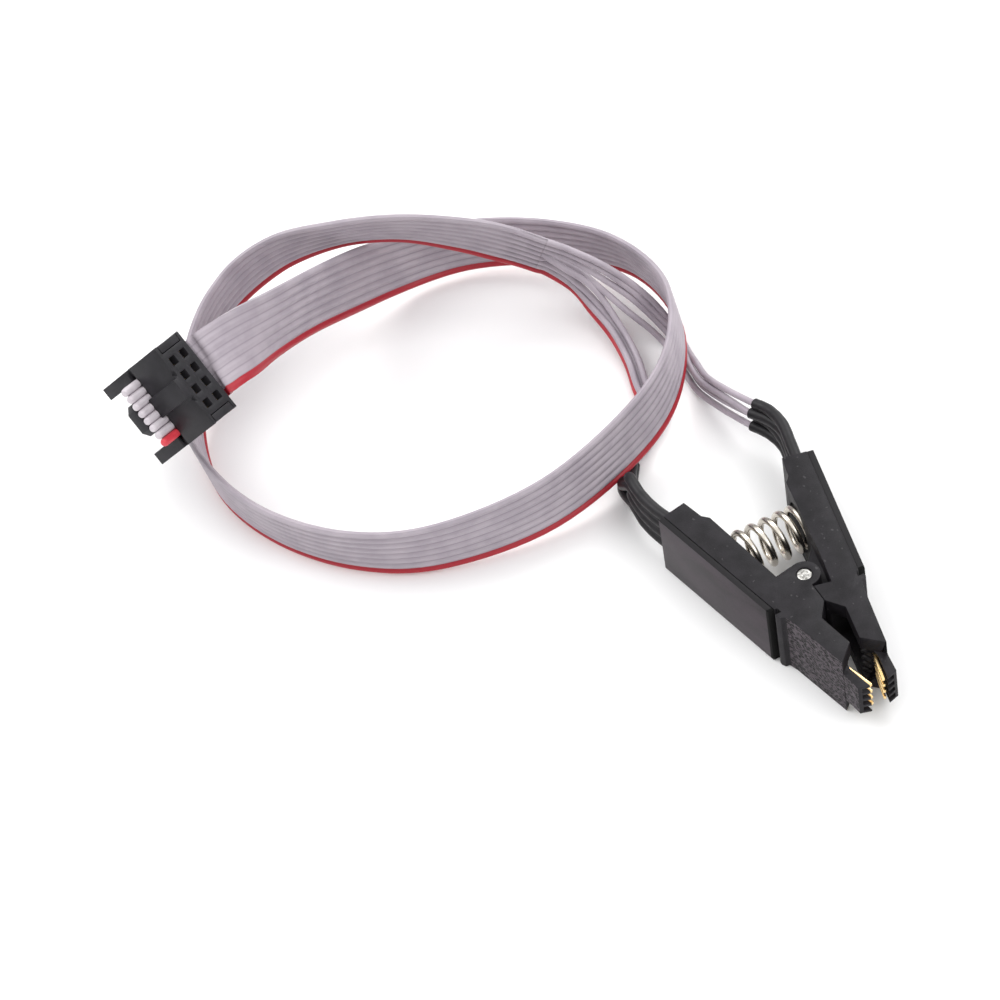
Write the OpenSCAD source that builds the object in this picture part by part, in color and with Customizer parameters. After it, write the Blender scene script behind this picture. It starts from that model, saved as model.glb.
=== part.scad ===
// Eight-way test clip with a ribbon lead and a two-row socket, in mm.
// +X points to the jaw tips, +Z runs along the pivot, and Z = 0 is the lower cheek face.

/* [Clip] */
// Height of the clip along the pivot
clip_h = 10.2; // [8:0.1:14]
// Thickness of each cheek plate
cheek_t = 2.4; // [1.6:0.1:3.2]
// Distance from the pivot to the jaw tips
tip_reach = 20.15; // [16:0.05:26]
// Distance from the pivot to the rear corner of a handle
rear_reach = 20.45; // [16:0.05:26]
// Half of the spread over the rear ends of the handles
rear_half = 12.3; // [9:0.1:16]
// Half of the gap left between the cheeks at the stop
stop_gap = 0.05; // [0.02:0.01:0.3]
// Opening angle of the jaws at full squeeze
open_angle = 25; // [10:1:35]

/* [Pivot] */
// Diameter of the pivot pin
pin_d = 2.2; // [1.5:0.1:3]
// Radius of the round cheek bosses
boss_r = 2.25; // [1.9:0.05:3]
// Radius of the inner lug
lug_r = 2.2; // [1.8:0.05:3]
// Running clearance of the lug on the pin, on radius
pin_run = 0.05; // [0.02:0.01:0.1]
// Clearance of the lug between the cheeks, each face
lug_side = 0.05; // [0.03:0.01:0.2]

/* [Covers] */
// Thickness of a cover plate
cover_t = 0.9; // [0.6:0.1:1.5]
// Step from a cheek face to the edge of a cover plate
cover_drop = 0.1; // [0.05:0.05:0.4]
// Gap round a cover plate
cover_gap = 0.03; // [0.02:0.01:0.1]

/* [Jaw tips] */
// Pitch of the contacts at the jaw tips
tip_pitch = 1.27; // [1:0.01:2.54]
// Width of a tip slot
slot_w = 0.8; // [0.5:0.05:1]
// Thickness of a contact blade
blade_t = 0.4; // [0.2:0.05:0.5]
// Height of a contact blade
blade_h = 0.5; // [0.3:0.05:0.7]

/* [Spring] */
// Distance of the spring axis behind the pivot
spring_back = 11.8; // [8:0.1:14]
// Outer diameter of the spring
spring_d = 7; // [5:0.1:8]
// Diameter of the spring wire
spring_wire = 0.95; // [0.6:0.05:1.2]
// Length of the spring with the jaws closed
spring_len = 12.6; // [10:0.1:16]
// Open turns of the spring
spring_turns = 4.5; // [3:0.5:7]
// Clearance of a spring seat round the spring
seat_clear = 0.2; // [0.1:0.05:0.4]

/* [Leads] */
// Diameter of a shrink sleeve
sleeve_d = 1.7; // [1.4:0.05:2]
// Pitch of the sleeves in a handle
sleeve_pitch = 1.95; // [1.8:0.05:2.2]
// Clearance of a sleeve in its hole, on radius
sleeve_clear = 0.08; // [0.02:0.01:0.15]
// Diameter of a single wire
wire_d = 1; // [0.7:0.05:1.2]
// Pitch of the ribbon conductors
ribbon_pitch = 1.27; // [1.27:0.01:2.54]
// Thickness of the ribbon
ribbon_t = 1; // [0.8:0.05:1.3]

/* [Socket] */
// Pitch of the socket holes
socket_pitch = 2.54; // [2:0.01:2.54]
// Length of the socket along its rows
socket_l = 13.6; // [12:0.1:16]
// Thickness of the socket
socket_w = 6; // [5:0.1:8]
// Depth of the socket body below its mating face
socket_body_h = 6.4; // [5:0.1:9]
// Width of a square socket hole
socket_hole = 1.3; // [0.9:0.05:1.6]
// Depth from the mating face to the ribbon slot's centre
socket_slot_z = 6.9; // [6:0.05:9]
// Thickness of the clamp bar
socket_bar = 2.5; // [1.5:0.1:3.5]
// Depth from the mating face to the ends of the ears
socket_ear_z = 13.1; // [11:0.1:15]
// Width of the key
key_w = 3.2; // [2:0.1:4]
// Height of the key
key_h = 0.9; // [0.5:0.05:1.2]

/* [Hidden] */
// The clip's box is centred on the origin along X.
x_shift = (rear_reach - tip_reach) / 2;
mid = clip_h / 2;
n = 4;

// Outline points of one half, seen along the pivot.
rear_in = [-rear_reach, 7.8];
rear_out = [0.95 - rear_reach, rear_half];
cover_end = [3.5, 7.5];
rib_x = [4.3, 5.3];
rib_y = [6.93, 6.6];
jaw_a = [6.6, 5.6];
jaw_b = [16.5, 3.4];
vee = [-1.6, 3.5];
crotch = [3.2, 2.45];
stop_a = 2.6;
stop_b = 5.65;
win_a = [8.2, 1.85];
win_b = [13.9, 0.75];
nose_out = [tip_reach - 0.5, 2.95];
nose_in = [tip_reach, 1.35];

// Slope of the outer face, and the depth of the cover below it measured along Y.
out_slope = (cover_end[1] - rear_out[1]) / (cover_end[0] - rear_out[0]);
cover_y = cover_t * sqrt(1 + out_slope * out_slope);
in_slope = (vee[1] - 6.05) / (vee[0] + 16.05);
function outer_y(x) = rear_out[1] + out_slope * (x - rear_out[0]);
function inner_y(x) = vee[1] + in_slope * (x - vee[0]);

// Path of a contact blade, seen along the pivot.
blade_path = [[-15, 9.25], [-9, 8.15], [2.5, 5.55], [8, 3.95], [14.2, 2.5], [17, 1.6], [19.6, 0.95]];

// Lead routes: x, y, z, lean of the row of wires from upright, and its pitch.
right_sleeve_rows = [
    [-16.5, 9.4, mid, 0, 1.95], [-20, 10.1, mid, 0, 1.95], [-24, 11, 5.3, 0, 1.9],
    [-28, 11.8, 5.6, 0, 1.8], [-31.5, 11.7, 5.5, 0, 1.75], [-34.5, 10.3, 5.2, 0, 1.75]];
left_sleeve_rows = [
    [-16.5, -9.4, mid, 0, 1.95], [-20, -10.1, mid, 0, 1.95], [-23.5, -11, mid, 0, 1.9],
    [-27, -11.4, 5, 0, 1.85], [-31, -11.1, 4.9, 0, 1.8], [-34.4, -9.5, 4.7, 0, 1.75]];
right_wire_rows = [
    [-35.8, 10.1, 5, 0, 1.6], [-41, 9, 3.6, 5, 1.25], [-46.5, 8.5, 2.4, 20, 1.2],
    [-50.5, 8.6, 1.7, 50, 1.2], [-54.5, 9, 0.9, 88, 1.2], [-57.8, 8.8, 1, 88, 1.2],
    [-60.8, 7, 3.8, 60, 1.2], [-63.5, 5, 7.4, 30, 1.25], [-67, 2.6, 10.4, 8, 1.27],
    [-70.7, 0, 12.9, 0, 1.27]];
left_wire_rows = [
    [-34.5, -9.44, 4.7, 0, 1.75], [-35.3, -8.95, 4.3, 5, 1.65], [-37, -8, 2.1, 50, 1.3],
    [-38.8, -5.9, 0.75, 90, 1.15], [-41, -2.4, 0.75, 90, 1.15], [-43.8, 0.4, 0.75, 90, 1.2],
    [-47.5, 1.8, 0.75, 90, 1.2], [-52, 0.8, 0.85, 85, 1.2], [-57, 1.4, 1.8, 50, 1.2], [-62.5, 1.6, 2.9, 25, 1.25],
    [-67.5, 0.9, 4.8, 8, 1.27], [-71.5, -1, 7.2, 0, 1.27]];

// The split, where the ribbon ends and the eight wires part.
split_row = [-74.5, -3, 11.5, 14];
ribbon_rows = [
    [-76, -46, 19, -16], [-82.5, -35, 14, -10], [-89.5, -22.5, 7, -10], [-88.5, -10, 6, -2],
    [-81.5, 1, 6.5, 4], [-72, 9, 7, 14], [-59.5, 10.5, 7, 8], [-47.5, 4.5, 7, 6],
    [-39.5, -6, 7, 2], [-34.5, -22.5, 5.6, 0], [-36, -39, 5.2, -4], [-42, -50, 5.2, -10],
    [-52.5, -58, 5.2, -12], [-65, -61.5, 5.2, -10], [-77.5, -60, 5.5, -12],
    [-88.5, -53.5, 8.5, 0], [-93.5, -46, 11.5, 8], [-94, -37.5, 15.5, 14],
    [-91, -29, 18, 16], [-86, -20.5, 18, 18], [-81, -12.5, 15.5, 14],
    [-77.5, -7, 13.5, 14], split_row];

// Pose of the socket: its own X runs from the red end, Y to the key and Z out of the mating face.
socket_at = [-67, -60, 24.5];
socket_turn = [24, -41, -160.5];
back_y = -4.2;
bend_r = 4;

// Vector helpers.
function unit(v) = v / norm(v);
function ease(a, b, c, d, t) = 0.5 * ((2 * b) + (c - a) * t + (2 * a - 5 * b + 4 * c - d) * t * t
    + (3 * b - a - 3 * c + d) * t * t * t);
function smooth(rows, per) = let (last = len(rows) - 1) [
    for (i = [0 : last - 1], k = [0 : per - 1])
        ease(rows[max(i - 1, 0)], rows[i], rows[i + 1], rows[min(i + 2, last)], k / per),
    rows[last]];
function xyz(r) = [r[0], r[1], r[2]];
function heading(rows, i) = let (last = len(rows) - 1)
    unit(xyz(rows[min(i + 1, last)]) - xyz(rows[max(i - 1, 0)]));
function side_of(t) = unit(cross(t, [0, 0, 1]));
function up_of(t) = cross(side_of(t), t);
// Direction of the row of wires across the route at one station.
function across(rows, i) = let (t = heading(rows, i))
    up_of(t) * cos(rows[i][3]) + side_of(t) * sin(rows[i][3]);
// Route of wire k of a bundle.
function strand(rows, k) = [for (i = [0 : len(rows) - 1])
    xyz(rows[i]) + across(rows, i) * (k - (n - 1) / 2) * rows[i][4]];

// Tube through the centres p, with its section given by two directions a and b at each centre.
module swept(p, a, b, ring) {
    m = len(ring);
    k = len(p);
    pts = [for (i = [0 : k - 1], j = [0 : m - 1]) p[i] + a[i] * ring[j][0] + b[i] * ring[j][1]];
    sides = [for (i = [0 : k - 2], j = [0 : m - 1], h = [0, 1]) let (e = (j + 1) % m)
        h == 0 ? [i * m + j, (i + 1) * m + j, (i + 1) * m + e] : [i * m + j, (i + 1) * m + e, i * m + e]];
    head = [[for (j = [0 : m - 1]) j]];
    tail = [[for (j = [m - 1 : -1 : 0]) (k - 1) * m + j]];
    polyhedron(pts, concat(head, sides, tail));
}

function circle_ring(r, m) = [for (j = [0 : m - 1]) r * [cos(360 * j / m), sin(360 * j / m)]];

module round_tube(p, r, m = 8) {
    t = [for (i = [0 : len(p) - 1]) unit(p[min(i + 1, len(p) - 1)] - p[max(i - 1, 0)])];
    s = [for (v = t) side_of(v)];
    u = [for (v = t) up_of(v)];
    swept(p, u, s, circle_ring(r, m));
}

// Outline of a strip of even width along a flat path.
function flat_normal(p, i) = let (last = len(p) - 1,
    d = unit(p[min(i + 1, last)] - p[max(i - 1, 0)])) [-d[1], d[0]];
function strip(p, w) = concat(
    [for (i = [0 : len(p) - 1]) p[i] + flat_normal(p, i) * w / 2],
    [for (i = [len(p) - 1 : -1 : 0]) p[i] - flat_normal(p, i) * w / 2]);

// Height of wire i in the handles and of contact i at the tips.
function sleeve_z(i) = mid + (i - (n - 1) / 2) * sleeve_pitch;
function tip_z(i) = mid + (i - (n - 1) / 2) * tip_pitch;

module clip_frame() {
    translate([x_shift, 0, 0]) children();
}

module left_side() {
    mirror([0, 1, 0]) children();
}

// ---- Housings ----

module half_outline() {
    polygon([
        [rear_out[0] - 0.19, outer_y(rear_out[0]) - cover_y - cover_gap],
        [cover_end[0], cover_end[1] - cover_y - cover_gap], [cover_end[0], 6.15],
        [rib_x[0], 5.95], [rib_x[0], rib_y[0]], [rib_x[0] + 0.5, rib_y[0] - 0.02],
        [rib_x[1], rib_y[1]], [rib_x[1] + 0.07, 6.04], jaw_a, jaw_b,
        win_b, win_a, [stop_b, stop_gap], [stop_a, stop_gap], crotch, vee,
        [-16.05, 6.05], [-16.93, 6.9], rear_in]);
}

// Room for the wires behind the cover plate.
module handle_room() {
    polygon([[-18.3, 8.75], [-17.2, 8.1], [-15.9, inner_y(-15.9) + 2.1], [-7.6, inner_y(-7.6) + 2.1],
        [-7.1, inner_y(-7.1) + 1.3], [-1.5, 4.85], [3, 4.1], [3, 8.5], [-18.3, 13.5]]);
}

// Room for the blades between the cheeks, open to the window.
module jaw_room() {
    polygon([[-1.5, 4.85], [3, 4.05], [6.3, 3.3], [6.3, -1], [14.9, -1], [14.9, 2.75],
        [jaw_a[0], 4.6], [5.2, 4.95], [2.9, 5.8], [-1.5, 6.8]]);
}

module nose() {
    translate([0, 0, cheek_t])
        linear_extrude(clip_h - 2 * cheek_t)
            polygon([[14.85, 3.7], jaw_b + [0.1, -0.02], nose_out, nose_in, [16.2, 2.15], [14.85, 2.02]]);
}

module tip_slots() {
    for (i = [0 : n - 1])
        translate([0, 0, tip_z(i) - slot_w / 2])
            linear_extrude(slot_w)
                polygon([[14.5, 3.1], [17, 2.8], [tip_reach + 1, 2.25], [tip_reach + 1, -1], [14.5, -1]]);
}

module spring_seat() {
    translate([-spring_back, spring_len / 2, mid])
        rotate([90, 0, 0])
            cylinder(r = spring_d / 2 + seat_clear, h = spring_len / 2, $fn = 48);
}

module spring_post() {
    translate([-spring_back, spring_len / 2 + 0.5, mid])
        rotate([90, 0, 0])
            cylinder(r = spring_d / 2 - spring_wire - 0.35, h = 1.8, $fn = 32);
}

module sleeve_holes() {
    for (i = [0 : n - 1])
        translate([-17.5, 9.6, sleeve_z(i)])
            rotate([0, -90, -11.3])
                cylinder(d = sleeve_d + 2 * sleeve_clear, h = 6, $fn = 24);
}

// Low ribs that keep the wires of one handle apart.
module lane_ribs() {
    for (i = [0 : n - 2])
        translate([-6.5, 4.2, (tip_z(i) + tip_z(i + 1)) / 2 - 0.15])
            cube([8, 2.2, 0.3]);
}

module half_body() {
    difference() {
        union() {
            difference() {
                linear_extrude(clip_h)
                    half_outline();
                translate([0, 0, 1.15])
                    linear_extrude(clip_h - 2.3)
                        handle_room();
                translate([0, 0, cheek_t])
                    linear_extrude(clip_h - 2 * cheek_t)
                        jaw_room();
            }
            nose();
            intersection() {
                lane_ribs();
                translate([0, 0, 1])
                    linear_extrude(clip_h - 2)
                        polygon([[-7, 4.6], [2, 3.6], [2, 5.4], [-7, 7.2]]);
            }
        }
        tip_slots();
        spring_seat();
        sleeve_holes();
    }
    spring_post();
}

module cheek_boss() {
    cylinder(r = boss_r, h = cheek_t, $fn = 48);
    linear_extrude(cheek_t)
        polygon([vee + [0, 0.3], vee, [-2.1, 1], [0, 0], [boss_r, 0.05], [stop_a + 0.1, 0.05],
            [crotch[0] + 0.1, crotch[1] + 0.1]]);
}

module left_housing() {
    color([0.24, 0.23, 0.25]) clip_frame() left_side() difference() {
        union() {
            half_body();
            cheek_boss();
            translate([0, 0, clip_h - cheek_t]) cheek_boss();
        }
        translate([0, 0, -1])
            cylinder(d = pin_d + 0.04, h = clip_h + 2, $fn = 48);
    }
}

module right_housing() {
    color([0.24, 0.23, 0.25]) clip_frame() difference() {
        union() {
            half_body();
            translate([0, 0, cheek_t + lug_side])
                linear_extrude(clip_h - 2 * (cheek_t + lug_side))
                    polygon([[-9, 5.1], [-5.5, 4], [-2, 0.9], [0, 0], [1.9, 0.8], [3, 2.7], [-1.4, 3.8]]);
            translate([0, 0, cheek_t + lug_side])
                cylinder(r = lug_r, h = clip_h - 2 * (cheek_t + lug_side), $fn = 48);
        }
        translate([0, 0, -1])
            cylinder(r = pin_d / 2 + pin_run, h = clip_h + 2, $fn = 48);
    }
}

// ---- Cover plates ----

module cover() {
    translate([0, 0, cover_drop])
        linear_extrude(clip_h - 2 * cover_drop)
            polygon([rear_out, cover_end - [0.05, -0.01], cover_end - [0.05, cover_y - 0.01],
                [rear_out[0] - 0.19, outer_y(rear_out[0]) - cover_y]]);
    // Locating rails inside the wire room
    for (z = [1.2, clip_h - 1.7])
        translate([0, 0, z])
            linear_extrude(0.5)
                polygon([[-15, outer_y(-15) - 0.5], [2.7, outer_y(2.7) - 0.5],
                    [2.7, outer_y(2.7) - cover_y - 0.5], [-15, outer_y(-15) - cover_y - 0.5]]);
}

module left_cover() {
    color([0.36, 0.33, 0.36]) clip_frame() left_side() cover();
}

module right_cover() {
    color([0.36, 0.33, 0.36]) clip_frame() cover();
}

// ---- Combs ----

module comb() {
    translate([0, 0, cheek_t + 0.02])
        difference() {
            linear_extrude(clip_h - 2 * cheek_t - 0.04)
                polygon([[13.15, 1.07], [14.4, 1.75], [14.4, 2.8], [13.15, 3.08]]);
            for (i = [0 : n - 1])
                translate([12, 0, tip_z(i) - cheek_t - 0.02 - slot_w / 2]) {
                    translate([0, 2.1, (slot_w - blade_h) / 2 - 0.03]) cube([4, 2, blade_h + 0.06]);
                    rotate([0, 0, 28.5]) translate([0, -0.06, 0]) cube([6, 0.8, slot_w]);
                }
        }
}

module left_comb() {
    color([0.2, 0.19, 0.2]) clip_frame() left_side() comb();
}

module right_comb() {
    color([0.2, 0.19, 0.2]) clip_frame() comb();
}

// ---- Contacts ----

module contact(i) {
    translate([0, 0, tip_z(i) - blade_h / 2])
        linear_extrude(blade_h)
            polygon(strip(blade_path, blade_t));
    // Riser and crimp barrel that take the wire inside the handle
    dz = sleeve_z(i) - tip_z(i);
    translate([-15.4, 9.05, (sleeve_z(i) + tip_z(i) - abs(dz) - blade_h) / 2])
        cube([0.5, 0.45, abs(dz) + blade_h]);
    translate([-16.3, 9.28, sleeve_z(i)])
        rotate([0, 90, 0]) cylinder(d = 0.9, h = 1.2, $fn = 16);
}

module left_contact(i) {
    color([0.9, 0.75, 0.47]) clip_frame() left_side() contact(i);
}

module right_contact(i) {
    color([0.9, 0.75, 0.47]) clip_frame() contact(i);
}

// ---- Pin and spring ----

module pivot_pin() {
    c = 0.15;
    r = pin_d / 2;
    color([0.78, 0.77, 0.75]) clip_frame()
        rotate_extrude($fn = 48)
            polygon([[0, 0.15], [r - c, 0.15], [r, 0.15 + c], [r, clip_h - 0.15 - c],
                [r - c, clip_h - 0.15], [0, clip_h - 0.15]]);
}

// Travel of the coil along its axis at turn t: closed end turns and open turns between them.
spring_all = spring_turns + 2;
spring_open = (spring_len - 3 * spring_wire) / spring_turns;
function coil_y(t) = t < 1 ? t * spring_wire
    : t > spring_all - 1 ? spring_len - spring_wire - (spring_all - t) * spring_wire
    : spring_wire + (t - 1) * spring_open;

module spring() {
    r = (spring_d - spring_wire) / 2;
    steps = 16 * spring_all;
    ts = [for (i = [0 : steps]) i / 16];
    p = [for (t = ts) [-spring_back + r * sin(360 * t + 40),
        coil_y(t) + spring_wire / 2 - spring_len / 2, mid + r * cos(360 * t + 40)]];
    a = [for (t = ts) [sin(360 * t + 40), 0, cos(360 * t + 40)]];
    b = [for (t = ts) [0, 1, 0]];
    color([0.8, 0.79, 0.77]) clip_frame()
        swept(p, b, a, circle_ring(spring_wire / 2, 8));
}

// ---- Sleeves and wires ----

module right_sleeve(i) {
    color([0.17, 0.17, 0.18]) clip_frame()
        round_tube(strand(smooth(right_sleeve_rows, 2), i), sleeve_d / 2);
}

module left_sleeve(i) {
    color([0.17, 0.17, 0.18]) clip_frame()
        round_tube(strand(smooth(left_sleeve_rows, 2), i), sleeve_d / 2);
}

// Where wire k of the ribbon leaves the split, counted from the red edge.
function split_point(k) = let (q = smooth(ribbon_rows, 1), i = len(q) - 1)
    xyz(split_row) + across(q, i) * (k - 3.5) * ribbon_pitch + heading(q, i) * 0.1;

module lead_wire(rows, i, k) {
    p = strand(smooth(rows, 2), i);
    round_tube(concat(p, [split_point(k)]), wire_d / 2);
}

module right_wire(i) {
    color([0.7, 0.67, 0.7]) clip_frame()
        lead_wire(right_wire_rows, i, i + 4);
}

module left_wire(i) {
    color(i == 0 ? [0.75, 0.22, 0.25] : [0.7, 0.67, 0.7]) clip_frame()
        lead_wire(left_wire_rows, i, i);
}

// ---- Ribbon ----

ribbon_w = 8 * ribbon_pitch;

// Turn of a point from the socket's own axes.
function turned(v) = let (a = socket_turn,
    p = [v[0], cos(a[0]) * v[1] - sin(a[0]) * v[2], sin(a[0]) * v[1] + cos(a[0]) * v[2]],
    q = [cos(a[1]) * p[0] + sin(a[1]) * p[2], p[1], cos(a[1]) * p[2] - sin(a[1]) * p[0]])
    [cos(a[2]) * q[0] - sin(a[2]) * q[1], sin(a[2]) * q[0] + cos(a[2]) * q[1], q[2]];
function from_socket(v) = socket_at + turned(v);

// Lean of the ribbon where it follows the socket's own row, for a heading t.
function lean_of(t) = let (w = turned([1, 0, 0])) atan2(w * side_of(t), w * up_of(t));
function bend_row(g) = let (t = turned([0, -sin(g), cos(g)]),
    c = from_socket([0, back_y - bend_r + bend_r * cos(g), bend_r * sin(g) - 3]))
    [c[0], c[1], c[2], lean_of(t)];
function start_row(z) = let (c = from_socket([0, back_y, z]))
    [c[0], c[1], c[2], lean_of(turned([0, 0, 1]))];

module ribbon_cable() {
    rows = smooth(concat([start_row(-5), start_row(-3.5), bend_row(30), bend_row(65)], ribbon_rows), 2);
    p = [for (r = rows) xyz(r)];
    w = [for (i = [0 : len(rows) - 1]) across(rows, i)];
    nrm = [for (i = [0 : len(rows) - 1]) cross(heading(rows, i), w[i])];
    h = ribbon_t / 2;
    e = ribbon_w / 2;
    ring = [[e, h / 2], [e - h / 2, h], [h / 2 - e, h], [-e, h / 2],
        [-e, -h / 2], [h / 2 - e, -h], [e - h / 2, -h], [e, -h / 2]];
    color([0.7, 0.67, 0.7]) clip_frame()
        swept(p, w, nrm, ring);
}

module in_socket() {
    translate(socket_at) rotate(socket_turn) children();
}

// The stretch in the clamp: eight conductors with a thin web, cut off flush beyond the key side,
// and a tight turn up the back.
module ribbon_end() {
    front = socket_w / 2 + 3.4;
    tight = -back_y - socket_w / 2 - 0.2;
    color([0.7, 0.67, 0.7]) clip_frame() in_socket() {
        translate([0, 0, -socket_slot_z]) {
            for (k = [0 : 7])
                translate([(k - 3.5) * ribbon_pitch, front, 0])
                    rotate([90, 0, 0]) cylinder(d = 0.96, h = front + socket_w / 2 + 0.3, $fn = 16);
            translate([-3.5 * ribbon_pitch, -socket_w / 2 - 0.2, -0.15])
                cube([7 * ribbon_pitch, socket_w + 0.2, 0.3]);
        }
        translate([-3.9 * ribbon_pitch, 0, 0]) rotate([90, 0, 90])
            linear_extrude(7.8 * ribbon_pitch)
                polygon([for (g = [0 : 15 : 90])
                        [-socket_w / 2 - 0.2 - (tight + ribbon_t / 2) * sin(g),
                            tight - socket_slot_z - (tight + ribbon_t / 2) * cos(g)],
                    [back_y - ribbon_t / 2, -5], [back_y + ribbon_t / 2, -5],
                    for (g = [90 : -15 : 0])
                        [-socket_w / 2 - 0.2 - (tight - ribbon_t / 2) * sin(g),
                            tight - socket_slot_z - (tight - ribbon_t / 2) * cos(g)]]);
    }
}

// ---- Socket ----

module at_holes() {
    for (i = [0 : 3], j = [-0.5, 0.5])
        translate([(i - 1.5) * socket_pitch, j * socket_pitch, 0]) children();
}

arm_w = 4.5;
arm_t = 1.3;

module socket_body() {
    color([0.2, 0.2, 0.22]) clip_frame() in_socket() difference() {
        union() {
            translate([-socket_l / 2, -socket_w / 2, -socket_body_h])
                cube([socket_l, socket_w, socket_body_h]);
            translate([-key_w / 2, socket_w / 2 - 0.1, -socket_body_h])
                cube([key_w, key_h + 0.1, socket_body_h]);
        }
        at_holes() translate([-socket_hole / 2, -socket_hole / 2, -socket_body_h - 1])
            cube([socket_hole, socket_hole, socket_body_h + 2]);
        // Recesses for the arms of the clamp bar
        for (s = [-1, 1])
            translate([s * (socket_l / 2 - arm_t / 2 + 0.5), 0, -socket_body_h / 2])
                cube([arm_t + 1.1, arm_w + 0.2, socket_body_h + 2], center = true);
        // Notches beside the key at the mating edge
        for (s = [-1, 1])
            translate([s * (key_w / 2 + 0.6), socket_w / 2, 0])
                rotate([0, 45, 0]) cube([0.8, 0.7, 0.8], center = true);
    }
}

module socket_cover() {
    bar_z = -socket_slot_z - 0.5;
    color([0.2, 0.2, 0.22]) clip_frame() in_socket() difference() {
        union() {
            translate([-socket_l / 2, -socket_w / 2, bar_z - socket_bar])
                cube([socket_l, socket_w, socket_bar]);
            for (s = [-1, 1]) {
                translate([s * (socket_l / 2 - arm_t / 2), 0, (bar_z - 1) / 2])
                    cube([arm_t - 0.1, arm_w, -bar_z + 1], center = true);
                translate([s * (socket_l / 2 - 0.95), 0, (bar_z - 1 - socket_ear_z) / 2])
                    cube([1.9, socket_w, socket_ear_z + bar_z - 1], center = true);
            }
            // Centre tab under the cut ends
            translate([0, socket_w / 2 - 0.1, bar_z - 1.6])
                linear_extrude(1.6)
                    polygon([[-2.6, 0], [2.6, 0], [2.6, 2.5], [1.6, 3.5], [-1.6, 3.5], [-2.6, 2.5]]);
        }
        // Row of clearance grooves over the conductors
        for (k = [0 : 7])
            translate([(k - 3.5) * ribbon_pitch, 0, -socket_slot_z])
                rotate([90, 0, 0]) cylinder(d = 1, h = 2 * socket_w, center = true, $fn = 16);
        for (s = [-1, 1])
            translate([s * (socket_l / 2 - 0.95), 0, -socket_ear_z])
                rotate([0, 90, 0]) rotate([0, 0, 45]) cube([0.8, 0.8, 3], center = true);
    }
}

// Twin-leaf contact in a socket hole.
module socket_contact(k) {
    i = k % 4;
    j = floor(k / 4) - 0.5;
    color([0.9, 0.75, 0.47]) clip_frame() in_socket()
        translate([(i - 1.5) * socket_pitch, j * socket_pitch, 0]) {
            for (s = [-1, 1])
                translate([s * 0.5, 0, -3.4]) cube([0.15, 0.9, 5], center = true);
            translate([0, 0, -5.9]) cube([1.15, 0.9, 0.3], center = true);
        }
}

left_housing();
right_housing();
left_cover();
right_cover();
left_comb();
right_comb();
left_contact(0);  // left_contact_1
left_contact(1);  // left_contact_2
left_contact(2);  // left_contact_3
left_contact(3);  // left_contact_4
right_contact(0);  // right_contact_1
right_contact(1);  // right_contact_2
right_contact(2);  // right_contact_3
right_contact(3);  // right_contact_4
pivot_pin();
spring();
left_sleeve(0);  // left_sleeve_1
left_sleeve(1);  // left_sleeve_2
left_sleeve(2);  // left_sleeve_3
left_sleeve(3);  // left_sleeve_4
right_sleeve(0);  // right_sleeve_1
right_sleeve(1);  // right_sleeve_2
right_sleeve(2);  // right_sleeve_3
right_sleeve(3);  // right_sleeve_4
left_wire(0);  // left_wire_1
left_wire(1);  // left_wire_2
left_wire(2);  // left_wire_3
left_wire(3);  // left_wire_4
right_wire(0);  // right_wire_1
right_wire(1);  // right_wire_2
right_wire(2);  // right_wire_3
right_wire(3);  // right_wire_4
ribbon_cable();
ribbon_end();
socket_body();
socket_cover();
socket_contact(0);  // socket_contact_1
socket_contact(1);  // socket_contact_2
socket_contact(2);  // socket_contact_3
socket_contact(3);  // socket_contact_4
socket_contact(4);  // socket_contact_5
socket_contact(5);  // socket_contact_6
socket_contact(6);  // socket_contact_7
socket_contact(7);  // socket_contact_8
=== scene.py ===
import math

import bpy
import numpy as np
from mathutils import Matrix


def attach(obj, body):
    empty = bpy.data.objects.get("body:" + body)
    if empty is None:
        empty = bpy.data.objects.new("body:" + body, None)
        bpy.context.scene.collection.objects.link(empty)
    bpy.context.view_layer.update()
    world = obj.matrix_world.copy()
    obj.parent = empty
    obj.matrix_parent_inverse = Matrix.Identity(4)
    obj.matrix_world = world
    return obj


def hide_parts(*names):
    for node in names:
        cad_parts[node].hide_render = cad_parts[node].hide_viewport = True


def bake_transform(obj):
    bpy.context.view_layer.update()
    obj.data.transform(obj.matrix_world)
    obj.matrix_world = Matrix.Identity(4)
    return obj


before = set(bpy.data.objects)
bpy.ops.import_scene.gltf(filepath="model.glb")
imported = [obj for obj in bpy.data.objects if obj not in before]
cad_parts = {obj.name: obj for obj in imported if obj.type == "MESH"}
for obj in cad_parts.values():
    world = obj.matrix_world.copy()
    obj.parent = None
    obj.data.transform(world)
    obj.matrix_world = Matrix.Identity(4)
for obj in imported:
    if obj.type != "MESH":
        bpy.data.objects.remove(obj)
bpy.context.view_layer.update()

# ---- Studio ----
# A pale matt table under a white tent, with one broad lamp on the left, one behind and a
# weaker one in front. The camera looks down on the clip from the side of its jaws.

scene = bpy.context.scene
scene.view_settings.view_transform = "Standard"

bpy.ops.object.select_all(action="DESELECT")
bpy.ops.mesh.primitive_plane_add(size=5, location=(0, 0, -0.00005))
table = bpy.context.object
table.name = "table"
table.data.materials.append(bpy.data.materials.new("pale_table"))
table.data.materials[0].use_nodes = True
table_shader = table.data.materials[0].node_tree.nodes["Principled BSDF"]
table_shader.inputs["Base Color"].default_value = (0.93, 0.93, 0.93, 1)
table_shader.inputs["Roughness"].default_value = 0.9
table_shader.inputs["Specular IOR Level"].default_value = 0.1

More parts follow.
